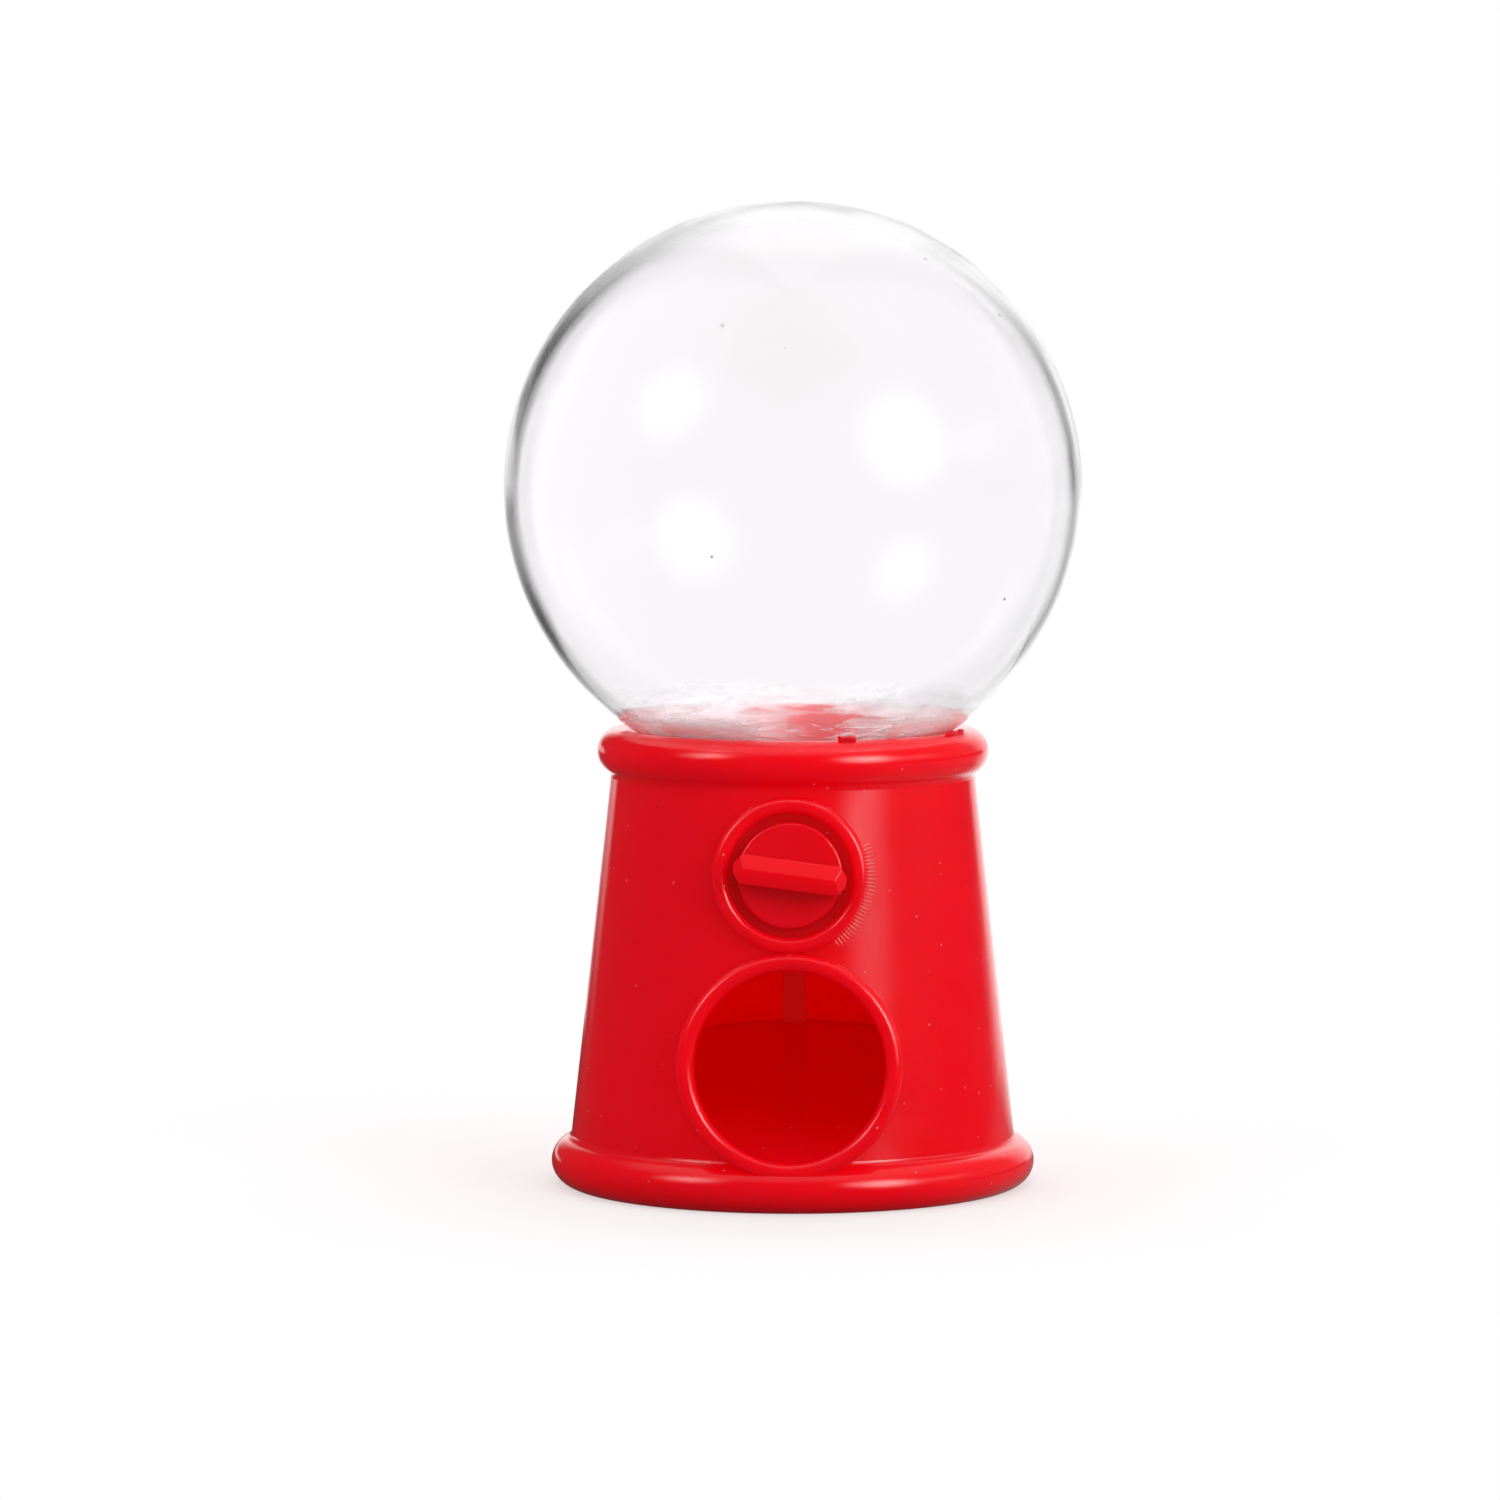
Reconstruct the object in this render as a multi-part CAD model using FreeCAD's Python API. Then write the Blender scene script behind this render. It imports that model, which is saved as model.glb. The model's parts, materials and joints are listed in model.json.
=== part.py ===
"""Toy gumball machine: a clear globe plugged into a tapered moulded base with a turning knob.

Millimetres, +Z up. The origin is on the table under the middle of the base, and the front faces -Y.
"""
import FreeCAD, Part
import math
import os

Vector = FreeCAD.Vector

# Globe: a ball with a thick rolled lip inside its opening and a short neck below it
globe_diameter = 41.7
globe_wall = 1.2
neck_diameter = 21.4
neck_wall = 1.15
neck_root_round = 0.4
lip_section = 2.7
lip_root_round = 0.5
neck_edge_chamfer = 0.4
neck_clearance = 0.1
globe_bead_gap = 0.1

# Tapered wall of the base, with a round bead at the rim and another at the foot
body_foot_diameter = 32.56
body_wall = 1.2
rim_wall = 2.17
rim_bead_projection = 1.18
foot_bead_section = 3.4
foot_bead_projection = 1.22
foot_flat_depth = 0.1
bead_root_round = 0.45

# Mouth with its raised lip
mouth_diameter = 13.46
mouth_sill_height = 3.5
mouth_lip_width = 1.24
mouth_lip_projection = 1.0

# Raised ring and recess that the knob sits in
bezel_diameter = 11.0
bezel_lip_width = 1.1
bezel_projection = 0.9
bezel_recess_depth = 1.6
bezel_floor = 1.3
bezel_mouth_overlap = 0.1
bezel_rim_gap = 0.55

# Knob: disc, grip bar and a split shaft with a barbed end
knob_disc_diameter = 7.5
knob_disc_thickness = 1.0
knob_edge_round = 0.25
knob_end_play = 0.2
knob_rest_turn = -7.4
bar_length = 8.0
bar_width = 2.1
bar_height = 2.0
bar_ridge_rise = 0.4
bar_hip_run = 0.8
bar_hip_drop = 0.7
bar_corner_length = 0.55
bar_corner_width = 0.7
bar_edge_round = 0.12
shaft_diameter = 3.4
shaft_flat_depth = 0.5
shaft_clearance = 0.05
shaft_slot_width = 0.8
shaft_slot_length = 5.0
barb_overhang = 0.25
barb_length = 1.0
barb_play = 0.05

# Dispensing rotor: a scoop between two discs, on the knob's shaft and a rear journal
rotor_diameter = 10.0
scoop_length = 10.0
scoop_wall = 0.8
scoop_lip_rise = 0.5
rotor_disc_thickness = 0.9
rotor_end_play = 0.2
hub_wall = 0.9
hub_clearance = 0.02
journal_diameter = 2.4
journal_clearance = 0.05
journal_overhang = 0.4
journal_end_gap = 0.3

# Hopper plate: a dished disc with the drop hole and a tongue that keeps the journal down
rotor_plate_gap = 0.4
plate_thickness = 1.0
plate_dish = 0.4
plate_clearance = 0.05
drop_hole_diameter = 8.0
drop_hole_chamfer = 0.3
ledge_width = 0.9
ledge_thickness = 0.8
tongue_thickness = 1.0
tongue_clearance = 0.15
tongue_ledge_gap = 0.3

# Post inside the rear wall that carries the journal
post_thickness = 1.4
post_width = 5.6
post_head_depth = 5.0
post_rise = 0.6
web_thickness = 1.7
web_root = 0.4

# Bottom cover and the chute ramp that stands on it
cover_thickness = 1.2
cover_recess = 0.5
cover_ledge = 0.35
cover_clearance = 0.05
cover_panel_margin = 3.0
cover_panel_depth = 0.3
ramp_angle = 13.0
ramp_wall = 1.2
ramp_sill_step = 0.1
ramp_clearance = 0.15
ramp_web_gap = 0.3

# Places and sizes that follow from the driving ones
globe_radius = globe_diameter / 2
globe_inner_radius = globe_radius - globe_wall
neck_radius = neck_diameter / 2
neck_bore_radius = neck_radius - neck_wall
socket_radius = neck_radius + neck_clearance
body_foot_radius = body_foot_diameter / 2
body_rim_radius = socket_radius + rim_wall
foot_bead_radius = foot_bead_section / 2
foot_bead_z = foot_bead_radius - foot_flat_depth
foot_bead_centre = body_foot_radius + foot_bead_projection - foot_bead_radius
rim_bead_outer = body_rim_radius + rim_bead_projection
rim_bead_radius = (rim_bead_outer - socket_radius) / 2
rim_bead_centre = (rim_bead_outer + socket_radius) / 2
mouth_radius = mouth_diameter / 2
mouth_lip_radius = mouth_radius + mouth_lip_width
mouth_z = mouth_sill_height + mouth_radius
bezel_radius = bezel_diameter / 2
recess_radius = bezel_radius - bezel_lip_width
knob_z = mouth_z + mouth_lip_radius + bezel_radius - bezel_mouth_overlap
rim_bead_z = knob_z + bezel_radius + bezel_rim_gap + rim_bead_radius
globe_bead_reach = globe_radius + rim_bead_radius + globe_bead_gap
globe_z = rim_bead_z + math.sqrt(globe_bead_reach ** 2 - rim_bead_centre ** 2)
wall_taper = (body_foot_radius - body_rim_radius) / (rim_bead_z - foot_bead_z)
wall_tilt = math.degrees(math.atan(wall_taper))


def wall_radius(height):
    """Outer radius of the tapered wall at a height."""
    return body_foot_radius - wall_taper * (height - foot_bead_z)


def bore_radius(height):
    """Inner radius of the tapered wall at a height."""
    return wall_radius(height) - body_wall


# Distances along the knob's axis, from the face of the wall: outward is plus
sin_tilt = math.sin(math.radians(wall_tilt))
cos_tilt = math.cos(math.radians(wall_tilt))
recess_floor = bezel_projection - bezel_recess_depth
boss_back = recess_floor - bezel_floor
knob_back = recess_floor + knob_end_play
knob_front = knob_back + knob_disc_thickness
hub_front = boss_back - rotor_end_play
scoop_middle = -wall_radius(knob_z) / cos_tilt
scoop_front = scoop_middle + scoop_length / 2
scoop_back = scoop_middle - scoop_length / 2
rotor_front = scoop_front + rotor_disc_thickness
rotor_back = scoop_back - rotor_disc_thickness

# The rotor sets the height of the hopper plate, and the plate that of the globe's neck
rotor_radius = rotor_diameter / 2
shaft_radius = shaft_diameter / 2
journal_radius = journal_diameter / 2
rotor_top = knob_z + rotor_front * sin_tilt + rotor_radius * cos_tilt
plate_seat_z = rotor_top + rotor_plate_gap
plate_top_z = plate_seat_z + plate_thickness
ledge_radius = socket_radius - ledge_width
ledge_bottom_z = plate_seat_z - ledge_thickness
cover_top_z = cover_recess + cover_thickness
cover_seat_radius = bore_radius(cover_top_z) + cover_ledge
post_y = ledge_radius - tongue_ledge_gap - tongue_thickness / 2
post_back_y = post_y + post_thickness / 2


def axis_height(y):
    """Height of the knob's axis above the table at a depth y."""
    return knob_z - (y + wall_radius(knob_z)) * wall_taper


def ramp_height(y):
    """Height of the ramp's top face at a depth y."""
    front_y = -bore_radius(mouth_sill_height)
    return mouth_sill_height - ramp_sill_step + (y - front_y) * math.tan(math.radians(ramp_angle))


def ramp_back_height():
    """Height where the ramp's top face reaches the inside of the rear wall."""
    slope = math.tan(math.radians(ramp_angle))
    return (ramp_height(0) + slope * bore_radius(0)) / (1 + slope * wall_taper)


def line(start, end):
    """Straight edge of a turned section, between (radius, height) points."""
    return Part.LineSegment(Vector(start[0], 0, start[1]), Vector(end[0], 0, end[1])).toShape()


def arc(start, middle, end):
    """Round edge of a turned section, through three (radius, height) points."""
    points = [Vector(radius, 0, height) for radius, height in (start, middle, end)]
    return Part.Arc(*points).toShape()


def turned(edges):
    """Solid of revolution about Z from the edges of a closed section."""
    section = Part.Face(Part.Wire(edges))
    return section.revolve(Vector(0, 0, 0), Vector(0, 0, 1), 360)


def turned_polygon(points):
    """Solid of revolution about Z from the corners of a section."""
    return turned([line(start, end) for start, end in zip(points, points[1:] + points[:1])])


def prism(points, length):
    """Solid from a closed outline, moved along a vector."""
    outline = Part.makePolygon(points + points[:1])
    return Part.Face(outline).extrude(length)


def cylinder(radius, bottom, top):
    """Round bar along Z between two heights."""
    return Part.makeCylinder(radius, top - bottom, Vector(0, 0, bottom))


def block(low, high):
    """Box between two corners."""
    size = Vector(*high) - Vector(*low)
    return Part.makeBox(size.x, size.y, size.z, Vector(*low))


def bore_cone(bottom, top, inset):
    """Solid that fills the inside of the tapered wall, an inset smaller."""
    bottom_radius = bore_radius(bottom) - inset
    top_radius = bore_radius(top) - inset
    return Part.makeCone(bottom_radius, top_radius, top - bottom, Vector(0, 0, bottom))


def on_front_wall(shape, height, turn=0):
    """Place a shape drawn about Z, with its outward side up, square on the front wall at a height."""
    placed = shape.copy()
    placed.rotate(Vector(0, 0, 0), Vector(0, 0, 1), turn)
    placed.rotate(Vector(0, 0, 0), Vector(1, 0, 0), 90 - wall_tilt)
    placed.translate(Vector(0, -wall_radius(height), height))
    return placed


def round_edges(shape, radius, chosen):
    """Fillet the edges that a test picks."""
    return shape.makeFillet(radius, [edge for edge in shape.Edges if chosen(edge)])


def circle_at(radius, height):
    """Test for a circular edge about Z with a radius and a height."""
    def chosen(edge):
        middle = edge.valueAt((edge.FirstParameter + edge.LastParameter) / 2)
        near_height = abs(edge.BoundBox.ZMax - height) < 1e-4 and abs(edge.BoundBox.ZMin - height) < 1e-4
        return near_height and abs(math.hypot(middle.x, middle.y) - radius) < 1e-4
    return chosen


def bead_root(bead_centre, bead_radius, wall_at_bead, taper):
    """Rise from a bead's centre to the circle where the bead meets the wall."""
    offset = wall_at_bead - bead_centre
    steep = 1 + taper ** 2
    inside = (taper * offset) ** 2 - steep * (offset ** 2 - bead_radius ** 2)
    return (-taper * offset + math.sqrt(inside)) / steep


def make_globe():
    """Clear ball, open at the bottom, with a rolled lip and the neck that plugs into the base."""
    neck_top = globe_z - math.sqrt(globe_radius ** 2 - neck_radius ** 2)
    neck_chamfer_z = plate_top_z + neck_edge_chamfer
    lip_radius = lip_section / 2
    lip_centre = neck_bore_radius + lip_radius
    lip_reach = globe_radius - lip_radius
    lip_drop = math.sqrt(lip_reach ** 2 - lip_centre ** 2)
    meeting = (globe_inner_radius ** 2 - lip_reach ** 2 - lip_radius ** 2) / (2 * lip_reach * lip_radius)
    lip_end_angle = math.acos(meeting) - math.atan2(lip_drop, lip_centre)

    def on_lip(angle):
        return (lip_centre + lip_radius * math.cos(angle), globe_z - lip_drop + lip_radius * math.sin(angle))

    lip_start = on_lip(math.pi)
    lip_top = on_lip(math.pi / 2)
    lip_end = on_lip(lip_end_angle)
    ball = turned([
        arc((0, globe_z + globe_radius), (globe_radius, globe_z), (neck_radius, neck_top)),
        line((neck_radius, neck_top), (neck_radius, neck_chamfer_z)),
        line((neck_radius, neck_chamfer_z), (neck_radius - neck_edge_chamfer, plate_top_z)),
        line((neck_radius - neck_edge_chamfer, plate_top_z), (neck_bore_radius, plate_top_z)),
        line((neck_bore_radius, plate_top_z), lip_start),
        arc(lip_start, lip_top, lip_end),
        arc(lip_end, (globe_inner_radius, globe_z), (0, globe_z + globe_inner_radius)),
        line((0, globe_z + globe_inner_radius), (0, globe_z + globe_radius)),
    ])
    ball = round_edges(ball, neck_root_round, circle_at(neck_radius, neck_top))
    return round_edges(ball, lip_root_round, circle_at(*lip_end))


def make_shell():
    """Tapered wall with its two beads, the socket for the neck and the ledges inside."""
    rim_drop = bead_root(rim_bead_centre, rim_bead_radius, body_rim_radius, wall_taper)
    foot_rise = bead_root(foot_bead_centre, foot_bead_radius, body_foot_radius, -wall_taper)
    rim_root = (wall_radius(rim_bead_z - rim_drop), rim_bead_z - rim_drop)
    foot_root = (wall_radius(foot_bead_z + foot_rise), foot_bead_z + foot_rise)
    foot_edge = foot_bead_centre + math.sqrt(foot_bead_radius ** 2 - foot_bead_z ** 2)
    rim_inside = (socket_radius, rim_bead_z)
    shell = turned([
        line((cover_seat_radius, 0), (cover_seat_radius, cover_top_z)),
        line((cover_seat_radius, cover_top_z), (bore_radius(cover_top_z), cover_top_z)),
        line((bore_radius(cover_top_z), cover_top_z), (bore_radius(ledge_bottom_z), ledge_bottom_z)),
        line((bore_radius(ledge_bottom_z), ledge_bottom_z), (ledge_radius, ledge_bottom_z)),
        line((ledge_radius, ledge_bottom_z), (ledge_radius, plate_seat_z)),
        line((ledge_radius, plate_seat_z), (socket_radius, plate_seat_z)),
        line((socket_radius, plate_seat_z), rim_inside),
        arc(rim_inside, (rim_bead_centre, rim_bead_z + rim_bead_radius), rim_root),
        line(rim_root, foot_root),
        arc(foot_root, (foot_bead_centre + foot_bead_radius, foot_bead_z), (foot_edge, 0)),
        line((foot_edge, 0), (cover_seat_radius, 0)),
    ])
    shell = round_edges(shell, bead_root_round, circle_at(*rim_root))
    return round_edges(shell, bead_root_round, circle_at(*foot_root))


def lip_tube(inner_radius, outer_radius, back, front):
    """Tube about Z whose front end is fully rounded."""
    half = (outer_radius - inner_radius) / 2
    middle = (outer_radius + inner_radius) / 2
    return turned([
        line((inner_radius, back), (outer_radius, back)),
        line((outer_radius, back), (outer_radius, front - half)),
        arc((outer_radius, front - half), (middle, front), (inner_radius, front - half)),
        line((inner_radius, front - half), (inner_radius, back)),
    ])


def make_post():
    """Slotted post on a web inside the rear wall, which the rotor's journal drops into."""
    journal_z = axis_height(post_y)
    post_top_z = journal_z + journal_radius + post_rise
    head_bottom_z = post_top_z - post_head_depth
    web_bottom_z = ramp_back_height() + ramp_web_gap
    head = block((-post_width / 2, post_y - post_thickness / 2, head_bottom_z),
                 (post_width / 2, post_back_y, post_top_z))
    web = block((-web_thickness / 2, post_y, web_bottom_z),
                (web_thickness / 2, body_foot_radius, post_top_z))
    inside = bore_cone(cover_top_z, ledge_bottom_z, -web_root)
    slot_radius = journal_radius + journal_clearance
    slot_end_y = post_back_y + journal_overhang + journal_end_gap
    seat = on_front_wall(cylinder(slot_radius, rotor_back - body_foot_radius, rotor_back), knob_z)
    slot = block((-slot_radius, post_y - post_thickness, journal_z),
                 (slot_radius, slot_end_y, plate_seat_z))
    reach = block((-slot_radius, 0, 0), (slot_radius, slot_end_y, globe_z))
    return head.fuse(web.common(inside)).cut(seat.common(reach)).cut(slot)


def make_base_body():
    """Red base: tapered shell, mouth lip, knob ring and the post for the rotor."""
    lip_fall = wall_radius(mouth_z) - math.sqrt(wall_radius(mouth_z) ** 2 - mouth_lip_radius ** 2)
    lip_back = -(lip_fall + 2 * body_wall)
    lip = on_front_wall(lip_tube(mouth_radius, mouth_lip_radius, lip_back, mouth_lip_projection), mouth_z)
    lip = lip.cut(bore_cone(cover_top_z, ledge_bottom_z, 0))
    mouth = on_front_wall(cylinder(mouth_radius, 2 * lip_back, 2 * mouth_lip_projection), mouth_z)
    boss = lip_tube(recess_radius, bezel_radius, boss_back, bezel_projection)
    boss = boss.fuse(cylinder(bezel_radius - bezel_lip_width / 2, boss_back, recess_floor))
    recess = cylinder(recess_radius, recess_floor, 2 * bezel_projection)
    shaft_hole = cylinder(shaft_radius + shaft_clearance, 2 * boss_back, bezel_projection)
    openings = [mouth, on_front_wall(recess, knob_z), on_front_wall(shaft_hole, knob_z)]
    body = make_shell().fuse([lip, on_front_wall(boss, knob_z), make_post()])
    return body.cut(openings).removeSplitter().Solids[0]


def make_grip_bar():
    """Bar across the knob with a low ridge, hipped ends and clipped corners."""
    half_length = bar_length / 2
    half_width = bar_width / 2
    bottom = knob_front - knob_disc_thickness / 2
    ridge = knob_front + bar_height
    shoulder = ridge - bar_ridge_rise
    gable = prism([
        Vector(-half_length, -half_width, bottom),
        Vector(-half_length, half_width, bottom),
        Vector(-half_length, half_width, shoulder),
        Vector(-half_length, 0, ridge),
        Vector(-half_length, -half_width, shoulder),
    ], Vector(bar_length, 0, 0))
    hips = prism([
        Vector(-half_length, -half_width, bottom),
        Vector(-half_length, -half_width, ridge - bar_hip_drop),
        Vector(bar_hip_run - half_length, -half_width, ridge),
        Vector(half_length - bar_hip_run, -half_width, ridge),
        Vector(half_length, -half_width, ridge - bar_hip_drop),
        Vector(half_length, -half_width, bottom),
    ], Vector(0, bar_width, 0))
    clipped_x = half_length - bar_corner_length
    clipped_y = half_width - bar_corner_width
    plan = prism([
        Vector(-half_length, -clipped_y, bottom),
        Vector(-clipped_x, -half_width, bottom),
        Vector(clipped_x, -half_width, bottom),
        Vector(half_length, -clipped_y, bottom),
        Vector(half_length, clipped_y, bottom),
        Vector(clipped_x, half_width, bottom),
        Vector(-clipped_x, half_width, bottom),
        Vector(-half_length, clipped_y, bottom),
    ], Vector(0, 0, ridge - bottom))
    bar = gable.common(hips).common(plan).removeSplitter()
    return round_edges(bar, bar_edge_round, lambda edge: edge.BoundBox.ZMax > bottom + bar_edge_round)


def make_knob():
    """Disc with a grip bar in front and a flatted, split and barbed shaft behind."""
    disc = cylinder(knob_disc_diameter / 2, knob_back, knob_front)
    disc = round_edges(disc, knob_edge_round, circle_at(knob_disc_diameter / 2, knob_front))
    barb_start = scoop_front - barb_play
    barb_end = barb_start - barb_length
    barb_radius = shaft_radius + barb_overhang
    shaft = turned_polygon([
        (0, knob_front),
        (shaft_radius, knob_front),
        (shaft_radius, barb_start),
        (barb_radius, barb_start),
        (shaft_radius - barb_overhang, barb_end),
        (0, barb_end),
    ])
    flat_y = shaft_radius - shaft_flat_depth
    flat = block((-barb_radius, flat_y, barb_end), (barb_radius, barb_radius, hub_front))
    slot = block((-shaft_slot_width / 2, -barb_radius, barb_end),
                 (shaft_slot_width / 2, barb_radius, barb_end + shaft_slot_length))
    knob = disc.fuse([make_grip_bar(), shaft.cut(flat).cut(slot)]).removeSplitter().Solids[0]
    return on_front_wall(knob, knob_z, knob_rest_turn)


def make_dispensing_rotor():
    """Open scoop between two discs, with the hub for the knob's shaft and the rear journal."""
    hub_radius = shaft_radius + hub_wall
    journal_back = -(post_back_y + journal_overhang + wall_radius(knob_z)) / cos_tilt
    trough = cylinder(rotor_radius, scoop_back, scoop_front)
    trough = trough.cut(cylinder(rotor_radius - scoop_wall, scoop_back, scoop_front))
    trough = trough.cut(block((-rotor_radius, scoop_lip_rise, scoop_back),
                              (rotor_radius, rotor_radius, scoop_front)))
    bore_fit = shaft_radius + hub_clearance
    shaft_bore = cylinder(bore_fit, scoop_front, hub_front)
    flat_y = shaft_radius - shaft_flat_depth + hub_clearance
    shaft_bore = shaft_bore.cut(block((-bore_fit, flat_y, scoop_front), (bore_fit, bore_fit, hub_front)))
    rotor = cylinder(hub_radius, rotor_front, hub_front).fuse([
        cylinder(rotor_radius, scoop_front, rotor_front),
        trough,
        cylinder(rotor_radius, rotor_back, scoop_back),
        cylinder(journal_radius, journal_back, rotor_back),
    ])
    rotor = rotor.cut(shaft_bore).removeSplitter().Solids[0]
    return on_front_wall(rotor, knob_z, knob_rest_turn)


def make_hopper_plate():
    """Dished disc under the globe's neck, with the drop hole and the tongue over the journal."""
    hole_radius = drop_hole_diameter / 2
    hole_top_z = plate_top_z - plate_dish
    disc = turned_polygon([
        (hole_radius, plate_seat_z),
        (socket_radius - plate_clearance, plate_seat_z),
        (socket_radius - plate_clearance, plate_top_z),
        (neck_bore_radius, plate_top_z),
        (hole_radius + drop_hole_chamfer, hole_top_z),
        (hole_radius, hole_top_z - drop_hole_chamfer),
    ])
    tongue_half_width = journal_radius + journal_clearance - tongue_clearance
    tongue_tip_z = axis_height(post_y - tongue_thickness / 2) + journal_radius / cos_tilt + tongue_clearance
    tongue = block((-tongue_half_width, post_y - tongue_thickness / 2, tongue_tip_z),
                   (tongue_half_width, post_y + tongue_thickness / 2, plate_seat_z + plate_thickness / 2))
    return disc.fuse(tongue).removeSplitter().Solids[0]


def make_chute_ramp():
    """Sloping floor with a skirt, standing on the cover and leading down to the mouth."""
    reach = 2 * body_foot_radius
    top_z = ledge_bottom_z

    def wedge(drop):
        return prism([
            Vector(-reach, -reach, cover_top_z - reach),
            Vector(-reach, -reach, ramp_height(-reach) - drop),
            Vector(-reach, reach, ramp_height(reach) - drop),
            Vector(-reach, reach, cover_top_z - reach),
        ], Vector(2 * reach, 0, 0))

    ramp_drop = ramp_wall / math.cos(math.radians(ramp_angle))
    outside = wedge(0).common(bore_cone(cover_top_z, top_z, ramp_clearance))
    hollow = wedge(ramp_drop).common(bore_cone(cover_top_z - ramp_wall, top_z, ramp_clearance + ramp_wall))
    return outside.cut(hollow).Solids[0]


def make_bottom_cover():
    """Disc that closes the foot, with a shallow panel sunk in its underside."""
    cover = cylinder(cover_seat_radius - cover_clearance, cover_recess, cover_top_z)
    panel = cylinder(cover_seat_radius - cover_panel_margin, cover_recess, cover_recess + cover_panel_depth)
    return cover.cut(panel)


os.makedirs("parts", exist_ok=True)
make_globe().exportStep("parts/globe.step")
make_base_body().exportStep("parts/base_body.step")
make_knob().exportStep("parts/knob.step")
make_dispensing_rotor().exportStep("parts/dispensing_rotor.step")
make_hopper_plate().exportStep("parts/hopper_plate.step")
make_chute_ramp().exportStep("parts/chute_ramp.step")
make_bottom_cover().exportStep("parts/bottom_cover.step")
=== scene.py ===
"""Toy gumball machine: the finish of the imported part, with its studio floor, lamps and camera.

Metres, in the part's own frame: +Z up, the front with the knob and the mouth towards -Y.
"""
import json
import math

import bmesh
import bpy
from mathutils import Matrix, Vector


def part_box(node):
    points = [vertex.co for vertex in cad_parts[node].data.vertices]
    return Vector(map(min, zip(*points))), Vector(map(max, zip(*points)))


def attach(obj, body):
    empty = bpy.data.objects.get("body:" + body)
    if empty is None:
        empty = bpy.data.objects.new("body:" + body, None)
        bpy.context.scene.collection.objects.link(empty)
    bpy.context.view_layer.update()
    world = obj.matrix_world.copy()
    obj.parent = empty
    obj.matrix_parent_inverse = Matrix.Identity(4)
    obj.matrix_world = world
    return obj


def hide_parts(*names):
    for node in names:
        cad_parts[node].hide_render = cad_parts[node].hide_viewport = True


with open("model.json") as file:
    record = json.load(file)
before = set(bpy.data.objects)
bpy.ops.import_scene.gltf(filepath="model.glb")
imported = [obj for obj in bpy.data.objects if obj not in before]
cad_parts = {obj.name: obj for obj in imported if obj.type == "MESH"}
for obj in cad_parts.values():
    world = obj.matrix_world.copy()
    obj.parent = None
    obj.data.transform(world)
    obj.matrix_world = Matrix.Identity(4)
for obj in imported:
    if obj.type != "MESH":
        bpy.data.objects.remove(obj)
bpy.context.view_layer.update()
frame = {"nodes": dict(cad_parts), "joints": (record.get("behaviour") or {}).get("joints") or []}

MM = 0.001

# Globe, with the sizes that its box doesn't give
globe_low, globe_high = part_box("globe")
globe_radius = (globe_high.x - globe_low.x) / 2
globe_z = globe_high.z - globe_radius
neck_foot_z = globe_low.z
globe_side_wall = 0.65 * MM
globe_top_wall = 1.1 * MM
globe_low_wall = 0.75 * MM
neck_radius = 10.7 * MM
neck_bore_radius = 9.55 * MM
neck_root_round = 0.4 * MM
neck_edge_chamfer = 0.4 * MM
throat_round = 0.8 * MM

# Rim bead of the base
base_top_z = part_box("base_body")[1].z
rim_bead_radius = 1.675 * MM
rim_bead_centre = 12.475 * MM
rim_bead_z = base_top_z - rim_bead_radius

# Flash on the rim bead
flash_radius = 12.95 * MM
flash_root_depth = 0.12 * MM
flash_thickness = 0.16 * MM
flash_raggedness = 0.3

# Knob's axis, square to the tapered wall
knob_joint = [joint for joint in frame["joints"] if joint["name"] == "knob_turn"][0]
knob_place = knob_joint["pos_m"]
wall_tilt = math.atan2(knob_joint["axis"][2], -knob_joint["axis"][1])

# Cutter's ticks by the knob ring, with a painted highlight, fading in and out between these radii, angles
# and depths
ticks_per_turn = 135
tick_root_radii = (5.3 * MM, 5.6 * MM)
tick_tip_radii = (6.15 * MM, 5.85 * MM)
tick_low_angles = (math.radians(-58), math.radians(-40))
tick_high_angles = (math.radians(24), math.radians(10))
tick_depths = (12 * MM, 8 * MM)

# Distance within which two places count as one
same_place = 0.001 * MM


def linear(hex_colour):
    """Scene-linear colour with alpha from an sRGB hex value."""
    shares = [int(hex_colour[at:at + 2], 16) / 255 for at in (1, 3, 5)]
    return [s / 12.92 if s <= 0.04045 else ((s + 0.055) / 1.055) ** 2.4 for s in shares] + [1.0]


def add(tree, kind, inputs=(), **settings):
    """Add a node with its settings, and with a value or a link for each input."""
    node = tree.nodes.new(kind)
    for name, value in settings.items():
        setattr(node, name, value)
    for name, value in dict(inputs).items():
        if isinstance(value, bpy.types.NodeSocket):
            tree.links.new(value, node.inputs[name])
        else:
            node.inputs[name].default_value = value
    return node


def new_material(name):
    """Empty material with its Principled shader, and the node that gives Object coordinates."""
    material = bpy.data.materials.new(name)
    material.use_nodes = True
    tree = material.node_tree
    tree.nodes.clear()
    shader = add(tree, "ShaderNodeBsdfPrincipled")
    add(tree, "ShaderNodeOutputMaterial", {"Surface": shader.outputs["BSDF"]})
    place = add(tree, "ShaderNodeTexCoord").outputs["Object"]
    return material, tree, shader, place


def let_lamps_through(tree, shader, tint):
    """Let lamp light pass each face of a thin wall, dimmed to a tint, so that it lights what is inside."""
    lamp_light = add(tree, "ShaderNodeBsdfTransparent", {"Color": linear(tint)})
    wall = add(tree, "ShaderNodeMixShader", {
        0: add(tree, "ShaderNodeLightPath").outputs["Is Shadow Ray"],
        1: shader.outputs["BSDF"],
        2: lamp_light.outputs["BSDF"],
    })
    tree.links.new(wall.outputs["Shader"], tree.nodes["Material Output"].inputs["Surface"])


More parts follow.
